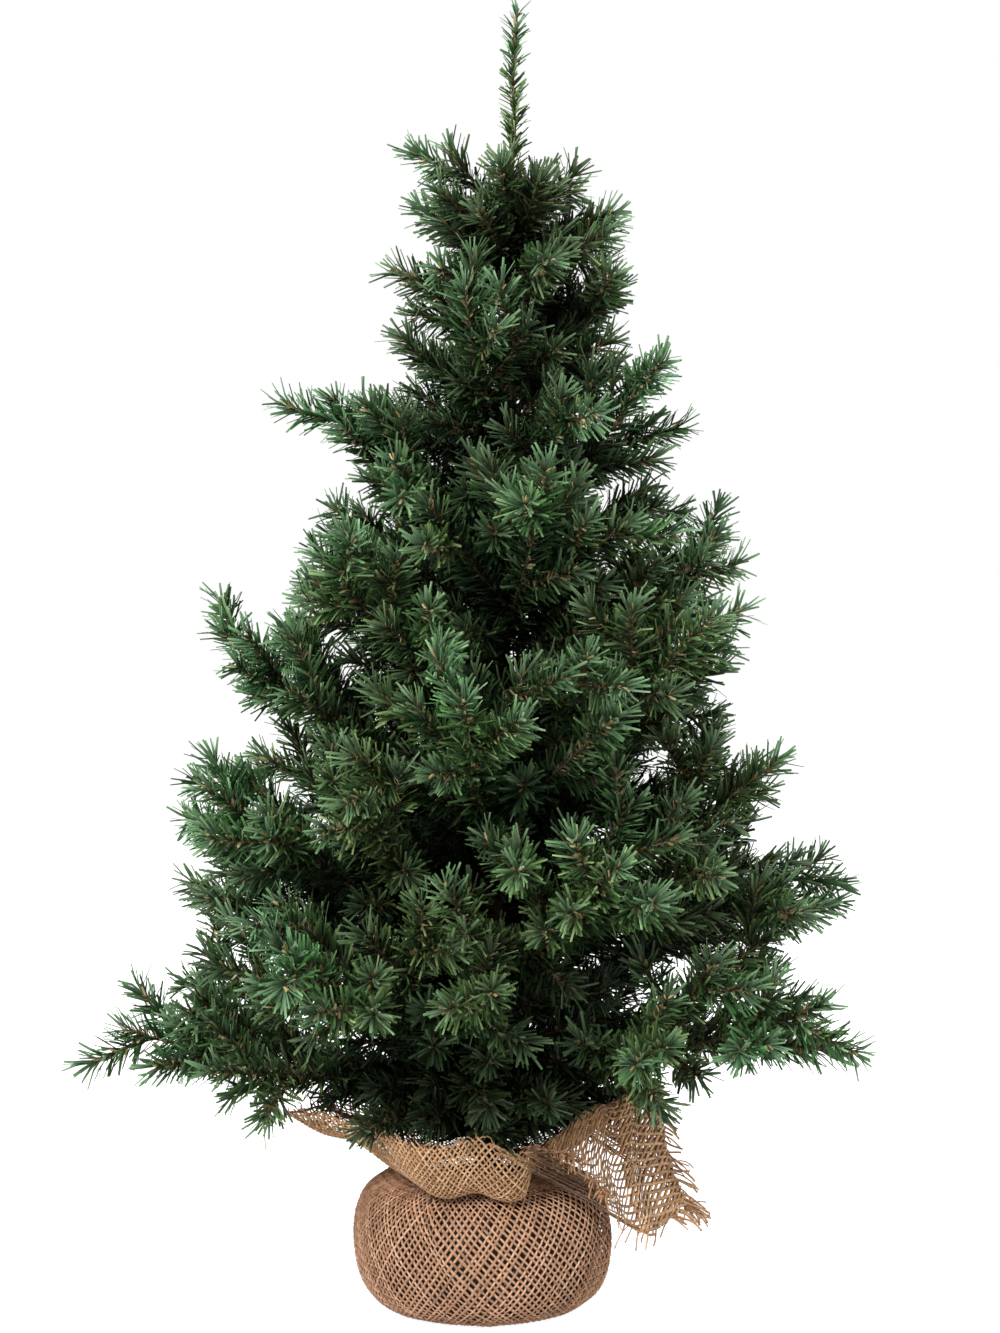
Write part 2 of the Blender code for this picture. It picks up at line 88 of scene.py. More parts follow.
LOW_BRANCHES = 7             # branches with shoots that hang over the base
LOW_ROOT_RISES = (0.45, 0.45, 0.15, -0.10, -0.20)  # how far up those shoots point
TIP_TRIM = 0.011             # by which stems end inside their last needles
LEADER_NEEDLE_SHARE = 0.66   # needle length on the upright leader
LEADER_SPRIGS = 21
TRUNK_SPRIGS = 70            # short shoots fixed round the trunk, between the branches
SKIRT_SPRIGS = 30            # and those that hang round its foot, over the burlap
BOWL_SPRIGS = 34             # and those that stand inside the burlap's collar

# Burlap: threads run up the body on both slants, through the tied neck and out to the rim
THREADS = 102                # of each slant, round the body
COLLAR_THREADS = 124         # and round the collar, which is wider
COLLAR_CROSSING = 0.00165
CROSSING = 0.00178           # between two crossings, measured up the cloth
THREAD_PITCH = 0.00250
EDGE_THREADS = 34
ROLLED_THREADS, TUFT_THREADS = 190, 22
SELVEDGE_HEADING, SELVEDGE_HALF_WIDTH = 351, 11  # degrees, of the collar's close-woven band
HANGING_FROM, HANGING_TO = 325, 40  # headings in degrees between which the cloth's corner hangs
THREAD_WIDTH = 0.00103
THREAD_THICKNESS = 0.00075
WEAVE_DEPTH = 0.00028        # how far a thread goes in and out at its crossings
NECK_RADIUS = 0.0262
NECK_TOP = 0.0655
BODY_PROFILE = np.array([    # radius and height, from the underside's edge to the neck
    (0.0430, 0.0010), (0.0490, 0.0022), (0.0540, 0.0070), (0.0574, 0.0150), (0.0590, 0.0250),
    (0.0592, 0.0350), (0.0574, 0.0450), (0.0525, 0.0540), (0.0440, 0.0590), (0.0350, 0.0600),
    (0.0280, 0.0615), (NECK_RADIUS, NECK_TOP),
])
BODY_LENGTH = float(np.linalg.norm(np.diff(BODY_PROFILE, axis=0), axis=1).sum())
# heading in degrees, then radius and height of the collar's fold and of its rim
COLLAR = (
    (2, 0.080, 0.100, 0.095, 0.040), (20, 0.074, 0.095, 0.092, 0.052),
    (36, 0.062, 0.088, 0.080, 0.068), (62, 0.050, 0.076, 0.064, 0.088),
    (98, 0.052, 0.078, 0.080, 0.092), (138, 0.047, 0.074, 0.062, 0.086),
    (172, 0.052, 0.080, 0.078, 0.092), (194, 0.056, 0.080, 0.094, 0.097),
    (222, 0.054, 0.070, 0.072, 0.092), (262, 0.054, 0.061, 0.062, 0.088),
    (290, 0.052, 0.062, 0.055, 0.086), (304, 0.040, 0.074, 0.045, 0.080),
    (316, 0.047, 0.084, 0.056, 0.077), (325, 0.056, 0.094, 0.067, 0.058),
    (334, 0.062, 0.099, 0.074, 0.044), (347, 0.070, 0.101, 0.084, 0.038),
)
# heading in degrees, how far it drifts on its way up, width in radians, height
PLEATS = (
    (277, -48, 0.075, 0.0034), (318, 12, 0.16, 0.0013), (352, -10, 0.12, 0.0016),
    (40, 14, 0.12, 0.0018), (96, -18, 0.14, 0.0014), (140, 10, 0.10, 0.0018),
    (184, -12, 0.13, 0.0016), (226, 8, 0.10, 0.0010),
)

# Twisted wire
WIRE_HALF_WIDTH, WIRE_HALF_DEPTH = 0.0009, 0.0005
WIRE_TWIST = 0.0055          # length of one full turn
WIRE_STEP = 0.0011
WIRE_SIDES = 6


# ---------------------------------------------------------------- meshes

def piece(name, mesh, material, body):
    obj = bpy.data.objects.new(name, mesh)
    bpy.context.scene.collection.objects.link(obj)
    mesh.materials.append(material)
    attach(obj, body)
    return obj


def mesh_of(name, verts, faces, smooth=False):
    """A mesh from arrays: faces is a list of arrays, each with one row of corners per face."""
    mesh = bpy.data.meshes.new(name)
    mesh.vertices.add(len(verts))
    mesh.vertices.foreach_set("co", np.ascontiguousarray(verts, np.float32).ravel())
    sizes = np.concatenate([np.full(len(f), f.shape[1], np.int32) for f in faces])
    corners = np.concatenate([f.ravel() for f in faces]).astype(np.int32)
    mesh.loops.add(len(corners))
    mesh.loops.foreach_set("vertex_index", corners)
    mesh.polygons.add(len(sizes))
    starts = np.concatenate([[0], np.cumsum(sizes)[:-1]]).astype(np.int32)
    mesh.polygons.foreach_set("loop_start", starts)
    mesh.polygons.foreach_set("loop_total", sizes)
    mesh.update(calc_edges=True)
    if smooth:
        mesh.shade_smooth()
    else:
        mesh.shade_flat()
    return mesh


def add_values(mesh, name, values):
    """One number for each vertex, which a material reads by name."""
    layer = mesh.attributes.new(name, "FLOAT", "POINT")
    layer.data.foreach_set("value", np.ascontiguousarray(values, np.float32).ravel())


def add_bake_map(mesh, places):
    """The map that the colours are baked through, one place for each face corner."""
    layer = mesh.uv_layers.new(name="OFBake")
    layer.data.foreach_set("uv", np.ascontiguousarray(places, np.float32).ravel())


def unit(vectors):
    return vectors / np.maximum(np.linalg.norm(vectors, axis=-1, keepdims=True), 1e-9)


# ---------------------------------------------------------------- the crown's lines

def bent(start, control, end, shares):
    shares = np.asarray(shares)[:, None]
    return start * (1 - shares) ** 2 + 2 * control * shares * (1 - shares) + end * shares ** 2


def trunk_point(height):
    return np.array([height * math.tan(TRUNK_LEAN), 0.0, height])


def branch_lines(number, mirrored, rolled, dice):
    """Curved lines of a branch's stem and twigs, from its hinge in the frame."""
    joint = joints[f"branch_{number + 1:02d}"]
    pivot, axis = np.array(joint["pos_m"]), np.array(joint["axis"])
    share = number / (BRANCH_COUNT - 1)
    square = REACH_FOOT ** 2 - share * (REACH_FOOT ** 2 - REACH_HEAD ** 2)
    up = (REACH_FOOT - math.sqrt(square)) / (REACH_FOOT - REACH_HEAD)
    reach = REACH_HEAD + (REACH_FOOT - REACH_HEAD) * (1 - up) ** REACH_HOLLOW
    reach *= 1 + dice[0] * UNEVENNESS
    slope = RISE_FOOT + up ** RISE_EARLY * (RISE_HEAD - RISE_FOOT)
    out = np.array([-axis[1], axis[0], 0.0])
    upward = np.array([0.0, 0.0, 1.0])
    tip = trunk_point(pivot[2]) + out * reach + upward * reach * math.tan(slope)
    length = np.linalg.norm(tip - pivot)
    leave = slope - DROOP
    control = pivot + (out * math.cos(leave) + upward * math.sin(leave)) * length / 2
    frame_stem = bent(pivot, control, tip, np.arange(4) / 3)
    lines = [bent(pivot, control, tip, np.linspace(0, 1, 15))]
    ends = []
    count = round(TWIGS_FOOT + up * (TWIGS_HEAD - TWIGS_FOOT))
    for n in range(count):
        along = FIRST_TWIG + (LAST_TWIG - FIRST_TWIG) * n / (count - 1)
        run = min(int(along * 3), 2)
        ahead = frame_stem[run + 1] - frame_stem[run]
        fork = frame_stem[run] + ahead * (along * 3 - run)
        ahead = unit(ahead)
        roll = math.radians(TWIG_ROLLS[n]) + rolled * ROLL_STEP
        if mirrored:
            roll = math.pi - roll
        sideways = axis * math.cos(roll) + np.cross(axis, ahead) * math.sin(roll)
        aim = ahead * math.cos(TWIG_SPREAD) + sideways * math.sin(TWIG_SPREAD)
        reach_on = length * (1 - along) * TWIG_SHARE * (1 + dice[1 + n] * UNEVENNESS)
        end = fork + aim * reach_on
        bow = (fork + end) / 2 + sideways * reach_on * 0.06 - ahead * reach_on * 0.03
        lines.append(bent(fork, bow, end, np.linspace(0, 1, 9)))
        ends.append(end - aim * WIRE_SHORT)
    return lines, ends


def leader_lines():
    pivot, tip = np.array(joints["leader"]["pos_m"]), trunk_point(TREE_HEIGHT)
    ahead = unit(tip - pivot)
    wave = np.array([[0.0012 * math.sin(n * 1.3), 0.0010 * math.sin(n * 0.9), 0] for n in range(12)])
    lines = [pivot + (tip - pivot) * np.linspace(0, 1, 12)[:, None] + wave - wave[0]]
    for n in range(LEADER_TWIGS):
        heading = LEADER_HEADING + n * GOLDEN_ANGLE
        out = np.array([math.cos(heading), math.sin(heading), 0])
        fork = pivot + ahead * (LEADER_TWIG_HEIGHT + n * LEADER_TWIG_STEP)
        upward = np.array([0, 0, math.sin(LEADER_TWIG_SLOPE)])
        end = fork + (out * math.cos(LEADER_TWIG_SLOPE) + upward) * LEADER_TWIG_LENGTH
        bow = (fork + end) / 2 + out * 0.004 - ahead * 0.003
        lines.append(bent(fork, bow, end, np.linspace(0, 1, 9)))
    return lines


def stray(ends, corners):
    """How far the worst of the wire ends lies from the frame's wire."""
    apart = np.linalg.norm(np.array(ends)[:, None] - corners[None], axis=2)
    return apart.min(axis=1).max()


def crown_lines():
    """{body: its lines}. A branch's twigs go whichever way round the frame's wire has them."""
    luck = random.Random(CROWN_SEED)
    found = {}
    for number in range(BRANCH_COUNT):
        dice = [luck.uniform(-1, 1) for _ in range(1 + TWIGS_FOOT)]
        body = f"branch_{number + 1:02d}"
        wire = frame["nodes"][body + "_wire"].data
        corners = np.array([v.co for v in wire.vertices])
        ways = [branch_lines(number, mirrored, rolled, dice)
                for mirrored in (False, True) for rolled in (-1, 0, 1)]
        lines, ends = min(ways, key=lambda way: stray(way[1], corners))
        if stray(ends, corners) > LAYOUT_TOLERANCE:
            raise ValueError(f"{body}: its twigs aren't where the frame's wire has them")
        found[body] = lines
    found["leader"] = leader_lines()
    return found


def trimmed(line):
    """A line that ends short of its last needles."""
    steps = np.linalg.norm(np.diff(line, axis=0), axis=1)
    reached = np.concatenate([[0], np.cumsum(steps)])
    at = np.linspace(0, reached[-1] - TIP_TRIM, len(line))
    return np.stack([np.interp(at, reached, line[:, k]) for k in range(3)], axis=1)


def root_sprigs(number, lines, chance):
    """Shoots that fan out from a branch's root, up beside the trunk and, low down, below it."""
    stem = lines[0]
    length = np.linalg.norm(stem[-1] - stem[0])
    out = unit((stem[-1] - stem[0]) * [1, 1, 0])
    across = np.array([-out[1], out[0], 0.0])
    found = []
    for n, (ahead, side, rise) in enumerate(ROOT_SPRIG_AIMS):
        if number < LOW_BRANCHES:
            rise = LOW_ROOT_RISES[n]
        start = stem[0] + (stem[1] - stem[0]) * chance.uniform(0.3, 1.0)
        size = min(max(length * ROOT_SPRIG_SHARE, 0.044), 0.060) * chance.uniform(0.85, 1.15)
        aim = unit(out * ahead + across * side + np.array([0, 0, rise]) + chance.normal(0, 0.08, 3))
        end = start + aim * size
        bow = (start + end) / 2 + np.array([0, 0, -0.06 * size])
        found.append(bent(start, bow, end, np.linspace(0, 1, 6)))
    return found


def crown_radius(height):
    """Distance from the trunk to the tips at a height."""
    return np.interp(height, [0.10, 0.155, 0.25, 0.35, 0.45, 0.52, 0.61],
                     [0.14, 0.185, 0.140, 0.105, 0.075, 0.045, 0.012])


def trunk_sprigs(chance):
    """Short shoots fixed round the trunk: in the collar, over it, then up between the branches."""
    found = []
    for n in range(-BOWL_SPRIGS, TRUNK_SPRIGS + SKIRT_SPRIGS):
        turn = n * GOLDEN_ANGLE + chance.uniform(-0.3, 0.3)
        out = np.array([math.cos(turn), math.sin(turn), 0.0])
        if n < 0:
            height = 0.076 - 0.0007 * n
            size, rise = chance.uniform(0.034, 0.050), chance.uniform(0.0, 0.5)
        elif n < SKIRT_SPRIGS:
            height = 0.098 + 0.022 * n / SKIRT_SPRIGS
            size, rise = chance.uniform(0.042, 0.054), chance.uniform(-0.24, 0.04)
        else:
            height = 0.112 + 0.396 * (n - SKIRT_SPRIGS) / TRUNK_SPRIGS
            size = float(crown_radius(height)) * chance.uniform(0.42, 0.62)
            rise = chance.uniform(0.1, 0.9)
        start = trunk_point(height) + out * 0.005
        end = start + unit(out + np.array([0, 0, rise])) * size
        found.append(bent(start, (start + end) / 2 + [0, 0, 0.003], end, np.linspace(0, 1, 6)))
    return found


def leader_sprigs(stem, chance):
    """Short shoots round the leader's foot, so that it rises out of a full crown."""
    found = []
    for n in range(LEADER_SPRIGS):
        turn = math.radians(175) + n * GOLDEN_ANGLE
        rise = (0.25, 0.55, 0.95)[n % 3]
        size = (0.054, 0.046, 0.038)[n % 3] * chance.uniform(0.9, 1.1)
        start = stem[0] + (stem[-1] - stem[0]) * (0.01 + 0.0125 * n)
        aim = unit(np.array([math.cos(turn), math.sin(turn), rise]) + chance.normal(0, 0.08, 3))
        end = start + aim * size
        found.append(bent(start, (start + end) / 2 - [0, 0, 0.003], end, np.linspace(0, 1, 6)))
    return found


def with_sprigs(lines, chance):
    """The lines, and short shoots that leave them alternately to fill the inside of the crown."""
    found = [trimmed(line) for line in lines]
    for line in lines:
        steps = np.linalg.norm(np.diff(line, axis=0), axis=1)
        length = steps.sum()
        count = int((length - 0.02) / SPRIG_EVERY)
        for n in range(count):
            share = (0.022 + n * SPRIG_EVERY + chance.uniform(0, 0.008)) / length
            place = share * (len(line) - 1)
            run = int(place)
            if run > len(line) - 2 or length * (1 - share) < 0.020:
                continue
            start = line[run] + (line[run + 1] - line[run]) * (place - run)
            ahead = unit(line[run + 1] - line[run])
            across = unit(np.cross(ahead, [0.2, 0.1, 1.0]))
            turn = n * GOLDEN_ANGLE + chance.uniform(-0.4, 0.4)
            side = across * math.cos(turn) + np.cross(ahead, across) * math.sin(turn)
            size = SPRIG_LENGTH * chance.uniform(0.75, 1.1)
            size = min(size, length * (1 - share) / 0.74)
            end = start + (ahead * 0.74 + side * 0.67) * size
            bow = (start + end) / 2 + side * size * 0.07
            found.append(bent(start, bow, end, np.linspace(0, 1, 5)))
    return found


# ---------------------------------------------------------------- needles

def spots_on(line, spacing, start, chance):
    """Points and directions spaced along a line, with how far each lies from the line's end."""
    steps = np.linalg.norm(np.diff(line, axis=0), axis=1)
    reached = np.concatenate([[0], np.cumsum(steps)])
    length = reached[-1]
    count = max(int((length - start) / spacing), 1)
    at = start + (np.arange(count) + chance.uniform(0, 1, count)) * (length - start) / count
    run = np.clip(np.searchsorted(reached, at, side="right") - 1, 0, len(steps) - 1)
    share = ((at - reached[run]) / steps[run])[:, None]
    points = line[run] * (1 - share) + line[run + 1] * share
    smooth = np.gradient(line, axis=0)
    ahead = unit(smooth[run] * (1 - share) + smooth[run + 1] * share)
    return points, ahead, length - at


def blades(roots, aims, flats, lengths, widths, bends):
    """Closed three-sided blades: (vertices, faces, corner places in a unit square)."""
    count = len(roots)
    keel = unit(np.cross(aims, flats))
    rings = []
    for share, width, depth in ((0.0, 0.55, 0.8), (0.5, 1.0, 1.0), (1.0, 0.72, 0.6)):
        middle = roots + aims * (lengths * share)[:, None] + bends * (4 * share * (1 - share))
        middle += bends * -1.2 * share
        half = flats * (widths * width / 2)[:, None]
        drop = keel * NEEDLE_KEEL * depth
        rings += [middle + half, middle - half, middle + drop]
    verts = np.stack(rings, axis=1).reshape(-1, 3)
    base = (np.arange(count) * 9)[:, None]
    quads, places = [], []
    for ring in (0, 1):
        for side in range(3):
            after = (side + 1) % 3
            low, high = ring * 3, ring * 3 + 3
            quads.append([low + side, low + after, high + after, high + side])
            left, right = side / 3, (side + 1) / 3
            bottom, top = ring / 2, (ring + 1) / 2
            places.append([[left, bottom], [right, bottom], [right, top], [left, top]])
    caps = [[0, 2, 1], [6, 7, 8]]
    cap_places = [[[0.1, 0.0], [0.5, 0.08], [0.9, 0.0]], [[0.1, 1.0], [0.9, 1.0], [0.5, 0.92]]]
    quads = (base[:, :, None] + np.array(quads)[None]).reshape(-1, 4)
    caps = (base[:, :, None] + np.array(caps)[None]).reshape(-1, 3)
    side = math.ceil(math.sqrt(count))
    cell = np.stack([np.arange(count) % side, np.arange(count) // side], axis=1)
    quad_places = cell[:, None, None] + 0.06 + 0.88 * np.array(places)[None]
    cap_places = cell[:, None, None] + 0.06 + 0.88 * np.array(cap_places)[None]
    places = np.concatenate([quad_places.reshape(-1, 2), cap_places.reshape(-1, 2)]) / side
    return verts, [quads, caps], places


def foliage(name, lines, chance, slim=0):
    """One mesh with every needle and brown fleck on these lines, shorter on the first slim."""
    parts = []
    for n, line in enumerate(lines):
        start = BARE_ROOT if n == 0 else 0.001
        for per_metre, size, fleck in ((NEEDLES_PER_METRE, NEEDLE_LENGTH, 0.0),
                                       (FLECKS_PER_METRE, FLECK_LENGTH, 1.0)):
            points, ahead, left = spots_on(line, 1 / per_metre, start, chance)
            size *= LEADER_NEEDLE_SHARE if n < slim else 1.0
            parts.append((points, ahead, left, np.full(len(points), size),
                          np.full(len(points), fleck)))
    roots, ahead, left, size, fleck = (np.concatenate(column) for column in zip(*parts))
    count = len(roots)
    around = chance.uniform(0, math.tau, count)
    across = unit(np.cross(ahead, [0.31, 0.17, 0.93]))
    other = np.cross(ahead, across)
    radial = across * np.cos(around)[:, None] + other * np.sin(around)[:, None]
    near_tip = np.clip(1 - left / TUFT_LENGTH, 0, 1)
    lean = NEEDLE_LEAN * (1 - 0.62 * near_tip * chance.uniform(0.2, 1, count))
    lean += chance.normal(0, math.radians(8), count)
    aims = unit(ahead * np.cos(lean)[:, None] + radial * np.sin(lean)[:, None])
    roll = chance.normal(0, 0.6, count)[:, None]
    flat = unit(np.cross(aims, radial + 1e-4))
    flats = unit(flat * np.cos(roll) + np.cross(aims, flat) * np.sin(roll))
    lengths = size * chance.uniform(0.86, 1.10, count)
    bends = (radial * chance.normal(-0.0002, 0.0007, count)[:, None]
             + flat * chance.normal(0, 0.0006, count)[:, None])
    bends *= (lengths / NEEDLE_LENGTH)[:, None]
    widths = NEEDLE_WIDTH * chance.uniform(0.8, 1.15, count)
    verts, faces, places = blades(roots, aims, flats, lengths, widths, bends)
    mesh = mesh_of(name, verts, faces)
    add_values(mesh, "tone", np.repeat(chance.uniform(0, 1, count), 9))
    add_values(mesh, "fleck", np.repeat(fleck, 9))
    add_values(mesh, "along", np.tile(np.repeat([0.0, 0.5, 1.0], 3), count))
    add_values(mesh, "outer", np.repeat(near_tip, 9))
    # How far out in the crown each needle lies, which the needle material turns into painted shade inside
    # and painted light at the outside; needles near the top count as outside
    middle = roots + aims * (lengths * 0.5)[:, None]
    off_trunk = np.hypot(middle[:, 0] - middle[:, 2] * math.tan(TRUNK_LEAN), middle[:, 1])
    depth = off_trunk / crown_radius(middle[:, 2])
    depth = np.maximum(depth, (middle[:, 2] - 0.500) / 0.050)
    add_values(mesh, "depth", np.repeat(np.clip(depth, 0, 1), 9))
    add_bake_map(mesh, places)
    return mesh


# ---------------------------------------------------------------- burlap

def smooth_path(knots, shares):
    """Points at shares, 0 to 1, of smooth curves through knots: (points, dimensions, curves)."""
    runs = knots.shape[0] - 1
    place = np.clip(shares, 0, 1) * runs
    run = np.minimum(place.astype(int), runs - 1)
    f = place - run
    if knots.ndim == 2:
        def at(n):
            return knots[np.clip(run + n, 0, runs)].T
    else:
        each = np.arange(len(shares))

        def at(n):
            return knots[np.clip(run + n, 0, runs), :, each].T
    a, b, c, d = at(-1), at(0), at(1), at(2)
    return 0.5 * (2 * b + (c - a) * f + (2 * a - 5 * b + 4 * c - d) * f ** 2
                  + (3 * b - a - 3 * c + d) * f ** 3)


def collar_knots(headings):
    """Radius and height of five points from the neck to the rim, at each heading."""
    degrees = np.degrees(headings) % 360
    table = np.array(COLLAR)
    order = np.concatenate([table[-1:] - [360, 0, 0, 0, 0], table, table[:1] + [360, 0, 0, 0, 0]])
    run = np.clip(np.searchsorted(order[:, 0], degrees, side="right") - 1, 0, len(order) - 2)
    share = (degrees - order[run, 0]) / (order[run + 1, 0] - order[run, 0])
    ease = (share * share * (3 - 2 * share))[:, None]
    fold_rim = order[run, 1:] * (1 - ease) + order[run + 1, 1:] * ease
    root = np.tile([NECK_RADIUS, NECK_TOP], (len(headings), 1))
    fold, rim = fold_rim[:, :2], fold_rim[:, 2:]
    knee = root * 0.55 + fold * 0.45 + [0.003, -0.0015]
    shelf = fold * 0.5 + rim * 0.5
    shelf = shelf + unit(np.stack([fold[:, 1] - rim[:, 1], rim[:, 0] - fold[:, 0]], axis=1)) * -0.003
    return np.stack([root, knee, fold, shelf, rim]).transpose(0, 2, 1)


def collar_length(headings):
    knots = collar_knots(headings)
    return np.linalg.norm(np.diff(knots, axis=0), axis=1).sum(axis=0)


def cloth_point(along, headings):
    """Points on the burlap: along is the distance up the body's side and then out to the rim."""
    body = smooth_path(BODY_PROFILE, along / BODY_LENGTH)
    collar = smooth_path(collar_knots(headings), (along - BODY_LENGTH) / collar_length(headings))
    on_body = along < BODY_LENGTH
    radius, height = np.where(on_body, body, collar)
    share = np.clip(along / BODY_LENGTH, 0, 1)
    out = np.clip((along - BODY_LENGTH) / 0.03, 0, 1)
    for heading, drift, width, depth in PLEATS:
        middle = math.radians(heading) + math.radians(drift) * share
        apart = (headings - middle + math.pi) % math.tau - math.pi
        fade = np.sin(math.pi * np.clip(share * 0.85 + 0.1, 0, 1))
        radius = radius + depth * np.exp(-(apart / width) ** 2) * fade * on_body
    gather = np.exp(-((along - BODY_LENGTH) / 0.012) ** 2)
    radius = radius + gather * 0.0009 * (1 + np.sin(headings * 23))
    wave = np.sin(headings * 7 + 0.6) + 0.6 * np.sin(headings * 12 + 2.1)
    height = height + 0.0022 * out * wave
    radius = radius + 0.0014 * out * np.sin(headings * 9 + 1.0)
    lumps = np.sin(headings * 3 + 0.5) + 0.5 * np.sin(headings * 5 + along * 60)
    radius = radius + 0.0005 * lumps * on_body * np.clip(share * 4, 0, 1)
    return np.stack([radius * np.cos(headings), radius * np.sin(headings), height], axis=1)


def yarn_tubes(paths, widths, thickness):
    """Flattened closed tubes through rings: (points, outward directions) of each path."""
    verts, faces, caps, base = [], [], [], 0
    for (points, outward), width in zip(paths, widths):
        count = len(points)
        ahead = unit(np.gradient(points, axis=0))
        across = unit(np.cross(ahead, outward))
        lift = np.cross(across, ahead)
        swell = np.asarray(width)[:, None] if np.ndim(width) else width
        ring = np.stack([points + across * swell / 2, points + lift * thickness / 2,
                         points - across * swell / 2, points - lift * thickness / 2], axis=1)
        verts.append(ring.reshape(-1, 3))
        low = (np.arange(count - 1) * 4)[:, None] + np.arange(4)[None]
        after = (np.arange(count - 1) * 4)[:, None] + (np.arange(4)[None] + 1) % 4
        faces.append(base + np.stack([low, after, after + 4, low + 4], axis=2).reshape(-1, 4))
        last = base + (count - 1) * 4
        caps += [[base + 3, base + 2, base + 1, base], [last, last + 1, last + 2, last + 3]]
        base += count * 4
    return np.concatenate(verts), [np.concatenate(faces), np.array(caps)]


def weave_heading(start, turn, side, along):
    """Heading of a slanting thread as it goes up the cloth."""
    heading = start + side * turn
    lean = 0.20 * np.sin(heading - 0.4) + 0.10 * np.sin(2 * heading + 0.8)
    return heading + lean * np.clip(along / BODY_LENGTH, 0, 1) ** 1.3


def burlap_threads(low, high, threads, crossing_length, rings, chance):
    """Threads of both slants between two distances along the cloth, woven over and under, with
    this many rings from one crossing to the next."""
    paths, widths, starts = [], [], []
    steps = np.arange(0, int(high / crossing_length * rings) + 1)
    along = steps * crossing_length / rings
    turn = steps * math.pi / threads / rings
    for side in (1, -1):
        for number in range(threads):
            place = (number + chance.normal(0, 0.08)) * math.tau / threads
            heading = weave_heading(place, turn, side, along)
            end = BODY_LENGTH + collar_length(heading) - chance.uniform(0, 0.003)
            keep = (along >= low) & (along <= np.minimum(high, end))
            if keep.sum() < 4:
                continue
            s, h = along[keep], heading[keep]
            middle = cloth_point(s, h)
            up = cloth_point(s + 0.0006, h) - cloth_point(s - 0.0006, h)
            round_it = cloth_point(s, h + 0.01) - cloth_point(s, h - 0.01)
            outward = unit(np.cross(round_it, up))
            over = np.round(np.cos(steps[keep] * math.pi / rings))
            middle = middle + outward * (over * side * WEAVE_DEPTH)[:, None]
            size = THREAD_WIDTH * chance.uniform(0.82, 1.12)
            radius = np.hypot(middle[:, 0], middle[:, 1])
            squeeze = np.clip(radius * math.tau / threads / 0.0031, 0.42, 1.5)
            slub = 1 + 0.10 * np.sin(s * chance.uniform(300, 700) + chance.uniform(0, 6))
            paths.append((middle, outward))
            widths.append(size * squeeze * slub)
            starts.append((h, s))
    return paths, widths, starts


# painted_collar_light sets how much painted light the threads get: none on the body, full in the collar
def add_threads(name, paths, widths, material, chance, painted_collar_light=0.0):
    verts, faces = yarn_tubes(paths, widths, THREAD_THICKNESS)
    mesh = mesh_of(name, verts, faces, True)
    tones = chance.uniform(0, 1, len(paths))
    add_values(mesh, "tone", np.concatenate([np.full(len(p) * 4, t) for (p, _), t in zip(paths, tones)]))
    add_values(mesh, "painted_collar_light", np.full(len(verts), painted_collar_light))
    return piece(name, mesh, material, "base")


def loose_thread(start, aim, length, droop, chance):
    """A stray thread's path and outward directions."""
    count = 7
    share = np.linspace(0, 1, count)[:, None]
    curl = unit(chance.normal(0, 1, 3)) * length * 0.16
    points = start + aim * length * share + curl * np.sin(share * chance.uniform(2, 5)) * share
    points = points + np.array([0, 0, -1]) * droop * length * share ** 2
    return points, np.tile(unit(np.cross(aim, [0.3, 0.2, 0.9])), (count, 1))


def selvedge(paths, widths, starts):
    """The parts of these threads that make the hanging corner's close-woven band."""
    found, sizes = [], []
    for (points, outward), width, (heading, along) in zip(paths, widths, starts):
        off = (heading - math.radians(SELVEDGE_HEADING) + math.pi) % math.tau - math.pi
        inside = (np.abs(off) < math.radians(SELVEDGE_HALF_WIDTH)) & (along > BODY_LENGTH + 0.03)
        run = np.flatnonzero(inside)
        if len(run) > 3 and run[-1] - run[0] == len(run) - 1:
            found.append((points[run] - outward[run] * 0.0011, outward[run]))
            sizes.append(width[run] * 1.1)
    return found, sizes


def burlap_fringe(starts, chance):
    """Threads that stand loose beyond the rim, most of them at the hanging corner."""
    paths, widths = [], []
    for heading, along in starts:
        s, h = along[-1], heading[-1]
        if s < BODY_LENGTH + 0.012:
            continue
        here = cloth_point(np.array([s - 0.002, s]), np.array([heading[-2], h]))
        aim = unit(here[1] - here[0] + chance.normal(0, 0.0006, 3))
        degrees = math.degrees(h) % 360
        hanging = degrees > HANGING_FROM or degrees < HANGING_TO
        if chance.uniform() > (0.75 if hanging else 0.45):
            continue
        length = chance.uniform(0.004, 0.014 if hanging else 0.007)
        paths.append(loose_thread(here[1] - aim * 0.001, aim, length, 0.2, chance))
        widths.append(chance.uniform(0.0004, 0.0008))
    # the hanging corner's upright edge has its cross threads pulled out
    for n in range(EDGE_THREADS):
        heading = np.array([math.radians(chance.uniform(-4, 12))])
        reach = collar_length(heading)
        start = cloth_point(BODY_LENGTH + reach * chance.uniform(0.58, 0.99), heading)[0]
        aim = unit(np.array([1.0, chance.uniform(-0.5, 0.2), chance.uniform(-0.7, 0.2)]))
        paths.append(loose_thread(start, aim, chance.uniform(0.006, 0.014), 0.3, chance))
        widths.append(chance.uniform(0.0006, 0.0010))
    # a curled, worn edge at the front, and a tuft at the hanging corner's end
    for low, high, count, length, aim in ((296, 328, ROLLED_THREADS, 0.0085, (0.1, -0.7, -0.2)),
                                          (-6, 6, TUFT_THREADS, 0.013, (0.9, -0.25, -0.25))):
        for n in range(count):
            heading = np.radians([chance.uniform(low, high)])
            reach = BODY_LENGTH + collar_length(heading) - chance.uniform(0, 0.004)
            start = cloth_point(reach, heading)[0]
            way = unit(np.array(aim) + chance.normal(0, 0.45 if length < 0.01 else 0.15, 3))
            paths.append(loose_thread(start, way, length * chance.uniform(0.5, 1.0), 0.2, chance))
            widths.append(chance.uniform(0.0006, 0.0011))
    return paths, widths


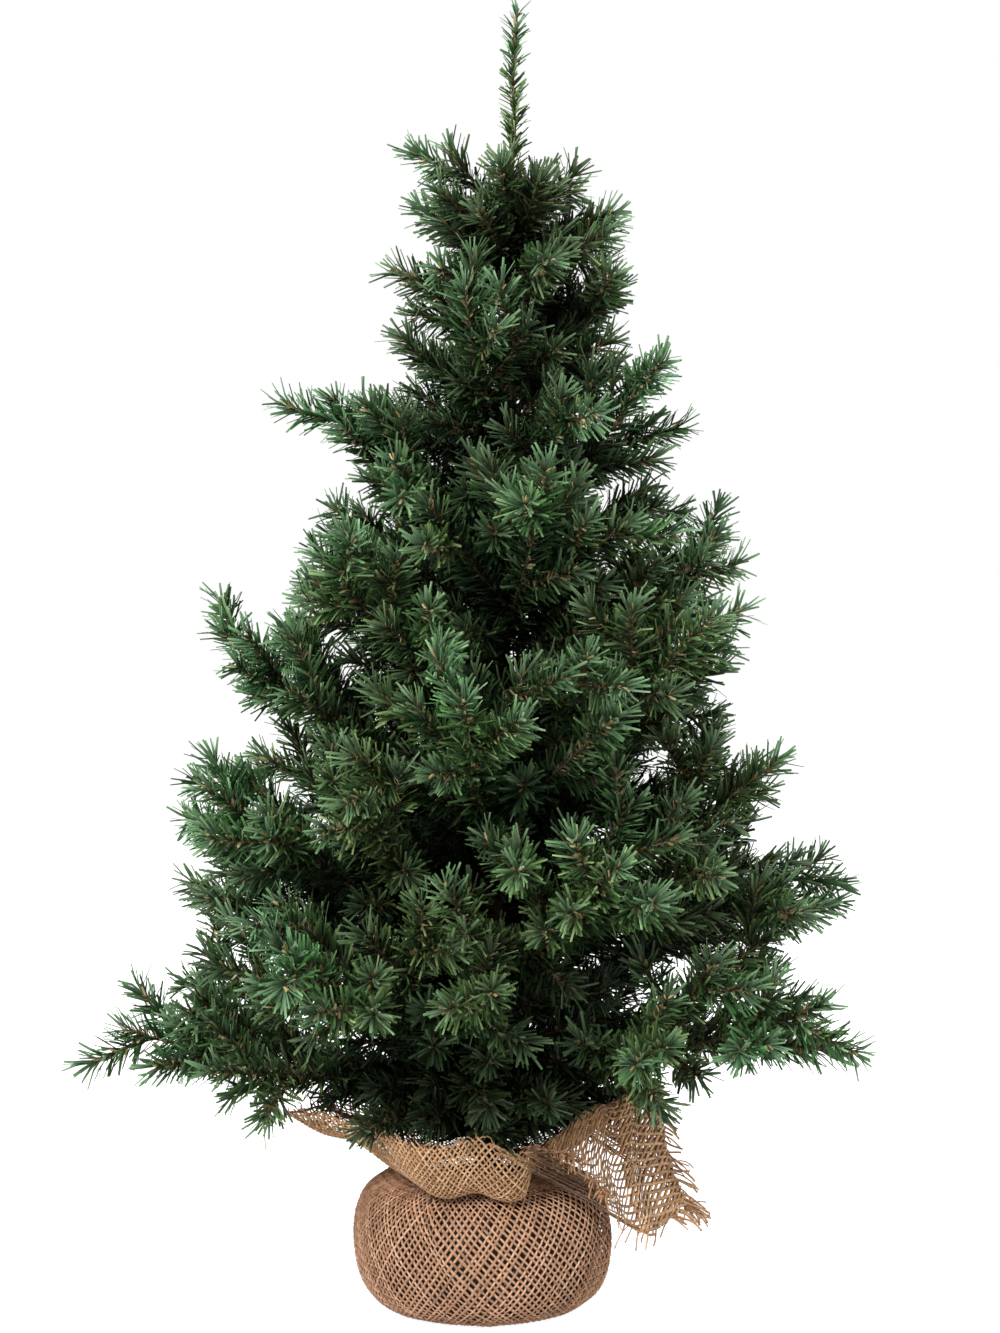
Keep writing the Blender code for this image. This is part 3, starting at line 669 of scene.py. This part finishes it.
def burlap_fuzz(count, chance):
    """Fine fibres that stand off the cloth."""
    along = chance.uniform(0.012, BODY_LENGTH + 0.03, count)
    heading = chance.uniform(0, math.tau, count)
    points = cloth_point(along, heading)
    paths, widths = [], []
    for point in points[points[:, 2] > 0.007]:
        outward = unit(point * [1, 1, 0] + [0, 0, 0.01])
        aim = unit(outward * chance.uniform(0.1, 0.7) + chance.normal(0, 0.6, 3))
        paths.append(loose_thread(point, aim, chance.uniform(0.002, 0.006), 0.1, chance))
        widths.append(0.00011)
    return paths, widths


def body_floor():
    """Threads across the cloth's flat underside."""
    paths, widths = [], []
    edge = BODY_PROFILE[0][0] + 0.001
    count = int(2 * edge / THREAD_PITCH)
    for side in (0, 1):
        for n in range(count):
            offset = (n - (count - 1) / 2) * THREAD_PITCH
            half = math.sqrt(edge * edge - offset * offset)
            steps = max(int(half / THREAD_PITCH), 1)
            run = np.arange(-steps, steps + 1) * THREAD_PITCH
            lift = np.where((np.arange(-steps, steps + 1) + n + side) % 2, 1, -1) * 0.00018
            lift = lift * (1 if side else -1) + 0.00085
            row = np.full(len(run), offset)
            points = np.stack([run, row, lift] if side else [row, run, lift], axis=1)
            paths.append((points, np.tile([0.0, 0.0, -1.0], (len(run), 1))))
            widths.append(THREAD_WIDTH)
    return paths, widths


def make_burlap():
    chance = np.random.default_rng(CLOTH_SEED)
    jute = burlap_material()
    paths, widths, _ = burlap_threads(0.0, BODY_LENGTH + CROSSING, THREADS, CROSSING, 2, chance)
    floor_paths, floor_widths = body_floor()
    body = add_threads("burlap_body", paths, widths, jute, chance)
    floor = add_threads("burlap_floor", floor_paths, floor_widths, jute, chance)
    collar_range = (BODY_LENGTH - CROSSING, 0.30, COLLAR_THREADS, COLLAR_CROSSING, 1)
    paths, widths, starts = burlap_threads(*collar_range, chance)
    band_paths, band_widths = selvedge(*burlap_threads(*collar_range, chance))
    collar = add_threads("burlap_collar", paths + band_paths, widths + band_widths, jute, chance, 1.0)
    fringe_paths, fringe_widths = burlap_fringe(starts, chance)
    fringe = add_threads("burlap_fringe", fringe_paths, fringe_widths, jute, chance, 0.8)
    fuzz_paths, fuzz_widths = burlap_fuzz(1600, chance)
    verts, faces = yarn_tubes(fuzz_paths, fuzz_widths, 0.00011)
    mesh = mesh_of("burlap_fuzz", verts, faces)
    add_values(mesh, "tone", np.full(len(verts), 0.8))
    fuzz = piece("burlap_fuzz", mesh, jute, "base")
    for made in (body, collar):
        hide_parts("burlap_wrap")


def twine_coil(radius, height, turns, rise, size, strands):
    """Turns of plied twine round the neck."""
    paths, widths = [], []
    count = int(turns * 220)
    angle = np.linspace(0, turns * math.tau, count)
    level = height + rise * (angle / math.tau) + 0.0004 * np.sin(angle * 3)
    bulge = 0.0009 * (1 + np.sin(angle * 23)) * 0.4
    for n in range(strands):
        ply = angle * 46 + n * math.tau / strands
        r = radius + bulge + size * 0.28 * np.cos(ply)
        z = level + size * 0.28 * np.sin(ply)
        points = np.stack([r * np.cos(angle), r * np.sin(angle), z], axis=1)
        outward = np.stack([np.cos(angle), np.sin(angle), np.zeros(count)], axis=1)
        paths.append((points, outward))
        widths.append(size * 0.62)
    return paths, widths


def make_twine():
    paths, widths = twine_coil(NECK_RADIUS + 0.0022, NECK_TOP - 0.0028, 3.0, 0.0011, 0.0013, 2)
    for heading, swing in ((244, 5), (248, -6)):
        share = np.linspace(0, 1, 14)
        along = BODY_LENGTH - 0.004 - 0.026 * share
        turn = np.radians(heading + swing * share + 2 * np.sin(share * 7))
        for n in range(2):
            ply = share * 24 + n * math.pi
            points = cloth_point(along, turn)
            outward = unit(points * [1, 1, 0] + [0, 0, 0.05])
            across = unit(np.cross(outward, [0, 0, 1]))
            points = points + outward * (0.0013 + 0.0004 * np.cos(ply))[:, None]
            points = points + across * (0.0004 * np.sin(ply))[:, None]
            paths.append((points, outward))
            widths.append(0.0008)
    verts, faces = yarn_tubes(paths, widths, 0.0008)
    mesh = mesh_of("twine_coil", verts, faces, True)
    add_values(mesh, "tone", np.full(len(verts), 0.4))
    coil = piece("twine_coil", mesh, twine_material(), "base")
    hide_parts("twine_tie")


# ---------------------------------------------------------------- wires

def twisted_wire(lines, chance):
    """Flat-sided pairs of wires wound round each other along each line."""
    verts, faces, base = [], [], 0
    turn = np.arange(WIRE_SIDES) * math.tau / WIRE_SIDES
    section = np.stack([np.cos(turn) * WIRE_HALF_WIDTH, np.sin(turn) * WIRE_HALF_DEPTH], axis=1)
    for line in lines:
        steps = np.linalg.norm(np.diff(line, axis=0), axis=1)
        reached = np.concatenate([[0], np.cumsum(steps)])
        length = reached[-1] - WIRE_SHORT
        rings = max(int(length / WIRE_STEP), 2) + 1
        at = np.linspace(0, length, rings)
        points = np.stack([np.interp(at, reached, line[:, k]) for k in range(3)], axis=1)
        ahead = unit(np.gradient(points, axis=0))
        across = unit(np.cross(ahead, [0.31, 0.17, 0.93]))
        other = np.cross(ahead, across)
        wind = math.tau * at / WIRE_TWIST + chance.uniform(0, 6)
        x = section[None, :, 0] * np.cos(wind)[:, None] - section[None, :, 1] * np.sin(wind)[:, None]
        y = section[None, :, 0] * np.sin(wind)[:, None] + section[None, :, 1] * np.cos(wind)[:, None]
        ring = points[:, None] + across[:, None] * x[..., None] + other[:, None] * y[..., None]
        verts.append(ring.reshape(-1, 3))
        first, side = (np.arange(rings - 1) * WIRE_SIDES)[:, None], np.arange(WIRE_SIDES)[None]
        low, after = first + side, first + (side + 1) % WIRE_SIDES
        quads = np.stack([low, after, after + WIRE_SIDES, low + WIRE_SIDES], axis=2).reshape(-1, 4)
        faces.append(quads + base)
        base += rings * WIRE_SIDES
    ends = []
    at = 0
    for ring in verts:
        ends.append(at + np.arange(WIRE_SIDES)[::-1])
        at += len(ring)
        ends.append(at - WIRE_SIDES + np.arange(WIRE_SIDES))
    return np.concatenate(verts), [np.concatenate(faces), np.array(ends)]


# ---------------------------------------------------------------- materials

def new_material(name):
    made = bpy.data.materials.new(name)
    made.use_nodes = True
    tree = made.node_tree
    return made, tree, tree.nodes["Principled BSDF"]


def add_node(tree, kind, **settings):
    node = tree.nodes.new(kind)
    for key, value in settings.items():
        setattr(node, key, value)
    return node


def value_of(tree, name):
    return add_node(tree, "ShaderNodeAttribute", attribute_name=name).outputs["Fac"]


def ramp(tree, factor, stops):
    """Colours along a factor: stops is a list of (place, colour)."""
    node = add_node(tree, "ShaderNodeValToRGB")
    elements = node.color_ramp.elements
    while len(elements) < len(stops):
        elements.new(0.5)
    for element, (place, colour) in zip(elements, stops):
        element.position = place
        element.color = (*colour, 1.0)
    tree.links.new(factor, node.inputs["Fac"])
    return node.outputs["Color"]


def mix_colour(tree, factor, first, second, how="MIX"):
    node = add_node(tree, "ShaderNodeMix", data_type="RGBA", blend_type=how)
    if isinstance(factor, float):
        node.inputs["Factor"].default_value = factor
    else:
        tree.links.new(factor, node.inputs["Factor"])
    for socket, value in ((node.inputs[6], first), (node.inputs[7], second)):
        if isinstance(value, tuple):
            socket.default_value = (*value, 1.0)
        else:
            tree.links.new(value, socket)
    return node.outputs[2]


def noise(tree, scale, detail=3.0):
    place = add_node(tree, "ShaderNodeTexCoord").outputs["Object"]
    node = add_node(tree, "ShaderNodeTexNoise")
    node.inputs["Scale"].default_value = scale
    node.inputs["Detail"].default_value = detail
    tree.links.new(place, node.inputs["Vector"])
    return node.outputs["Fac"]


def spread(tree, value, low, high):
    """A 0 to 1 value stretched over low to high."""
    node = add_node(tree, "ShaderNodeMapRange")
    node.inputs["To Min"].default_value = low
    node.inputs["To Max"].default_value = high
    tree.links.new(value, node.inputs["Value"])
    return node.outputs["Result"]


def bump(tree, height, strength, distance, shader):
    node = add_node(tree, "ShaderNodeBump")
    node.inputs["Strength"].default_value = strength
    node.inputs["Distance"].default_value = distance
    tree.links.new(height, node.inputs["Height"])
    tree.links.new(node.outputs["Normal"], shader.inputs["Normal"])


def needle_material():
    """Green PVC film: deep green blades with painted shade at their roots and a painted highlight at
    their ends, teal young tips, brown flecks, and painted shade deep in the crown.
    """
    made, tree, shader = new_material("pvc_needles")
    green = ramp(tree, value_of(tree, "tone"), [
        (0.0, (0.012, 0.032, 0.009)),
        (0.35, (0.024, 0.054, 0.017)),
        (0.72, (0.044, 0.086, 0.031)),
        (1.0, (0.140, 0.195, 0.110)),
    ])
    patch = ramp(tree, noise(tree, 14.0, 2.0), [(0.38, (1.12, 1.0, 0.74)), (0.62, (0.80, 1.02, 0.92))])
    green = mix_colour(tree, 1.0, green, patch, "MULTIPLY")
    young = mix_colour(tree, value_of(tree, "outer"), green, (0.062, 0.104, 0.052))
    # Painted shade and highlight along each needle: darker towards its root by the wire, much lighter
    # towards its end
    root_shade_tip_highlight = ramp(tree, value_of(tree, "along"), [
        (0.0, (0.32, 0.28, 0.20)), (0.50, (0.90, 0.90, 0.90)), (1.0, (2.1, 2.0, 1.95)),
    ])
    blade = mix_colour(tree, 1.0, young, root_shade_tip_highlight, "MULTIPLY")
    # Painted shade deep in the crown, darkening needles and flecks towards the trunk, and painted light
    # on the outermost needles
    inside = ramp(tree, value_of(tree, "depth"), [
        (0.10, (0.16, 0.17, 0.14)), (0.45, (0.40, 0.43, 0.37)), (0.75, (0.90, 0.94, 0.87)),
        (0.97, (1.30, 1.50, 1.52)),
    ])
    blade = mix_colour(tree, 1.0, blade, inside, "MULTIPLY")
    brown = ramp(tree, value_of(tree, "tone"), [
        (0.0, (0.140, 0.092, 0.034)), (0.6, (0.290, 0.205, 0.085)), (1.0, (0.46, 0.37, 0.21)),
    ])
    brown = mix_colour(tree, 1.0, brown, inside, "MULTIPLY")
    colour = mix_colour(tree, value_of(tree, "fleck"), blade, brown)
    tree.links.new(colour, shader.inputs["Base Color"])
    tree.links.new(spread(tree, noise(tree, 90.0), 0.42, 0.66), shader.inputs["Roughness"])
    shader.inputs["Specular IOR Level"].default_value = 0.30
    return made


def wire_material():
    made, tree, shader = new_material("branch_wire")
    colour = ramp(tree, noise(tree, 260.0), [(0.3, (0.045, 0.032, 0.016)), (0.7, (0.15, 0.12, 0.07))])
    tree.links.new(colour, shader.inputs["Base Color"])
    tree.links.new(spread(tree, noise(tree, 500.0), 0.35, 0.65), shader.inputs["Roughness"])
    shader.inputs["Metallic"].default_value = 0.35
    return made


def tape_material():
    """Brown crepe tape wound up the pole in overlapping turns."""
    made, tree, shader = new_material("trunk_tape")
    place = add_node(tree, "ShaderNodeTexCoord").outputs["Object"]
    wave = add_node(tree, "ShaderNodeTexWave", wave_type="BANDS", bands_direction="DIAGONAL")
    wave.inputs["Scale"].default_value = 28.0
    wave.inputs["Distortion"].default_value = 2.0
    wave.inputs["Detail"].default_value = 2.0
    tree.links.new(place, wave.inputs["Vector"])
    colour = ramp(tree, wave.outputs["Fac"], [(0.1, (0.035, 0.018, 0.008)), (0.8, (0.12, 0.068, 0.032))])
    tree.links.new(colour, shader.inputs["Base Color"])
    tree.links.new(spread(tree, noise(tree, 120.0), 0.45, 0.75), shader.inputs["Roughness"])
    bump(tree, wave.outputs["Fac"], 0.6, 0.0006, shader)
    return made


def steel_material():
    made, tree, shader = new_material("pole_steel")
    colour = ramp(tree, noise(tree, 200.0), [(0.3, (0.20, 0.19, 0.17)), (0.7, (0.42, 0.41, 0.39))])
    tree.links.new(colour, shader.inputs["Base Color"])
    tree.links.new(spread(tree, noise(tree, 300.0), 0.3, 0.55), shader.inputs["Roughness"])
    shader.inputs["Metallic"].default_value = 1.0
    return made


def cement_in_painted_shade_material():
    made, tree, shader = new_material("cement")
    grain = noise(tree, 350.0, 6.0)
    # Near-black colour: painted shade for the dark seen through the burlap's open weave; the grain is the
    # cement's own
    colour = ramp(tree, grain, [(0.3, (0.012, 0.007, 0.004)), (0.7, (0.030, 0.018, 0.011))])
    tree.links.new(colour, shader.inputs["Base Color"])
    tree.links.new(spread(tree, grain, 0.8, 0.98), shader.inputs["Roughness"])
    bump(tree, grain, 0.5, 0.0006, shader)
    return made


def burlap_material():
    """Jute: warm brown yarns, with painted light and shade on the one cloth: a little darker and pinker
    on the body, lighter and more golden in the collar.
    """
    made, tree, shader = new_material("jute")
    tone = ramp(tree, value_of(tree, "tone"), [
        (0.0, (0.45, 0.265, 0.157)), (0.5, (0.58, 0.357, 0.222)), (1.0, (0.78, 0.530, 0.360)),
    ])
    fibres = ramp(tree, noise(tree, 900.0, 4.0), [(0.30, (0.62, 0.55, 0.50)), (0.65, (1.12, 1.10, 1.06))])
    patches = ramp(tree, noise(tree, 22.0, 3.0), [(0.35, (0.88, 0.86, 0.84)), (0.65, (1.08, 1.08, 1.06))])
    # Painted light and shade: the body's threads a little darker and pinker, the collar's and fringe's
    # lighter and more golden
    collar_light_tint = ramp(tree, value_of(tree, "painted_collar_light"), [(0.0, (0.98, 0.90, 0.88)), (1.0, (1.06, 1.02, 0.86))])
    colour = mix_colour(tree, 1.0, tone, fibres, "MULTIPLY")
    colour = mix_colour(tree, 1.0, colour, patches, "MULTIPLY")
    colour = mix_colour(tree, 1.0, colour, collar_light_tint, "MULTIPLY")
    tree.links.new(colour, shader.inputs["Base Color"])
    tree.links.new(spread(tree, noise(tree, 700.0), 0.75, 0.95), shader.inputs["Roughness"])
    shader.inputs["Sheen Weight"].default_value = 0.25
    shader.inputs["Specular IOR Level"].default_value = 0.2
    bump(tree, noise(tree, 2400.0, 3.0), 0.5, 0.0003, shader)
    return made


def twine_material():
    made, tree, shader = new_material("dark_twine")
    tones = [(0.3, (0.025, 0.016, 0.010)), (0.7, (0.11, 0.065, 0.035))]
    colour = ramp(tree, noise(tree, 700.0, 4.0), tones)
    tree.links.new(colour, shader.inputs["Base Color"])
    tree.links.new(spread(tree, noise(tree, 500.0), 0.7, 0.95), shader.inputs["Roughness"])
    return made


# ---------------------------------------------------------------- set

CAMERA_DISTANCE = 1.20
CAMERA_HEIGHT = 0.355
CAMERA_SIDE = 0.0083
AIM_HEIGHT = 0.2985
LENS = 69.5
SURROUND = 0.16              # light from all round, against the white behind the tree
FLOOR_GLOW = 0.92            # seen by the camera only, so that the floor meets the white


def aim_at(obj, target):
    obj.rotation_euler = (Vector(target) - obj.location).to_track_quat("-Z", "Y").to_euler()


def make_camera():
    data = bpy.data.cameras.new("camera")
    data.lens = LENS
    data.sensor_width = 36.0
    data.clip_start = 0.05
    camera = bpy.data.objects.new("camera", data)
    bpy.context.scene.collection.objects.link(camera)
    camera.location = (CAMERA_SIDE, -CAMERA_DISTANCE, CAMERA_HEIGHT)
    aim_at(camera, (CAMERA_SIDE, 0, AIM_HEIGHT))
    bpy.context.scene.camera = camera


def make_lamp(name, place, target, size, watts, colour=(1, 1, 1)):
    data = bpy.data.lights.new(name, "AREA")
    data.shape = "DISK"
    data.size = size
    data.energy = watts
    data.color = colour
    lamp = bpy.data.objects.new(name, data)
    bpy.context.scene.collection.objects.link(lamp)
    lamp.location = place
    aim_at(lamp, target)


def make_set():
    """Pale floor, white surround and three soft lamps."""
    scene = bpy.context.scene
    world = bpy.data.worlds.new("studio")
    world.use_nodes = True
    tree = world.node_tree
    backdrop = tree.nodes["Background"]
    surround = add_node(tree, "ShaderNodeBackground")
    for node, strength in ((backdrop, 1.0), (surround, SURROUND)):
        node.inputs["Color"].default_value = (1, 1, 1, 1)
        node.inputs["Strength"].default_value = strength
    path = add_node(tree, "ShaderNodeLightPath")
    chosen = add_node(tree, "ShaderNodeMixShader")
    tree.links.new(path.outputs["Is Camera Ray"], chosen.inputs["Fac"])
    tree.links.new(surround.outputs[0], chosen.inputs[1])
    tree.links.new(backdrop.outputs[0], chosen.inputs[2])
    tree.links.new(chosen.outputs[0], tree.nodes["World Output"].inputs["Surface"])
    scene.world = world
    scene.view_settings.view_transform = "Standard"
    bpy.ops.mesh.primitive_plane_add(size=8, location=(0, 1.0, 0))
    floor = bpy.context.object
    floor.name = "floor"
    made, tree, shader = new_material("pale_floor")
    shader.inputs["Base Color"].default_value = (0.60, 0.60, 0.60, 1)
    shader.inputs["Roughness"].default_value = 0.9
    shader.inputs["Emission Color"].default_value = (1, 1, 1, 1)
    path = add_node(tree, "ShaderNodeLightPath")
    glow = spread(tree, path.outputs["Is Camera Ray"], 0.0, FLOOR_GLOW)
    tree.links.new(glow, shader.inputs["Emission Strength"])
    floor.data.materials.append(made)
    make_lamp("key", (-0.9, -1.3, 1.25), (0, 0, 0.28), 0.7, 46)
    make_lamp("fill", (1.3, -1.0, 0.7), (0, 0, 0.28), 1.0, 11)
    make_lamp("top", (0.2, 0.5, 1.6), (0, 0, 0.35), 1.0, 20)


# ---------------------------------------------------------------- the tree

def make_crown():
    chance = np.random.default_rng(NEEDLE_SEED)
    needles, wires = needle_material(), wire_material()
    short = trunk_sprigs(chance)
    low = BOWL_SPRIGS + SKIRT_SPRIGS
    high = low + TRUNK_SPRIGS // 2
    groups = {"foot": short[:low], "trunk_low": short[low:high], "trunk_high": short[high:]}
    for name, lines in groups.items():
        piece(name + "_foliage", foliage(name + "_foliage", lines, chance), needles, "base")
        verts, faces = twisted_wire(lines, chance)
        piece(name + "_stems", mesh_of(name + "_stems", verts, faces, True), wires, "base")
    for number, (body, lines) in enumerate(crown_lines().items()):
        if body == "leader":
            full = [trimmed(lines[0]), *with_sprigs(lines[1:], chance), *leader_sprigs(lines[0], chance)]
        else:
            full = with_sprigs(lines, chance) + root_sprigs(number, lines, chance)
        mesh = foliage(body + "_foliage", full, chance, slim=1 if body == "leader" else 0)
        green = piece(body + "_foliage", mesh, needles, body)
        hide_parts(body + "_needles")
        verts, faces = twisted_wire(full, chance)
        stem = piece(body + "_stems", mesh_of(body + "_stems", verts, faces, True), wires, body)
        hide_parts(body + "_wire")


def dress(node, material):
    data = frame["nodes"][node].data
    data.materials.clear()
    data.materials.append(material)


make_camera()
make_set()
make_crown()
make_burlap()
make_twine()
dress("trunk_tape", tape_material())
dress("trunk_rod", steel_material())
dress("base_weight", cement_in_painted_shade_material())
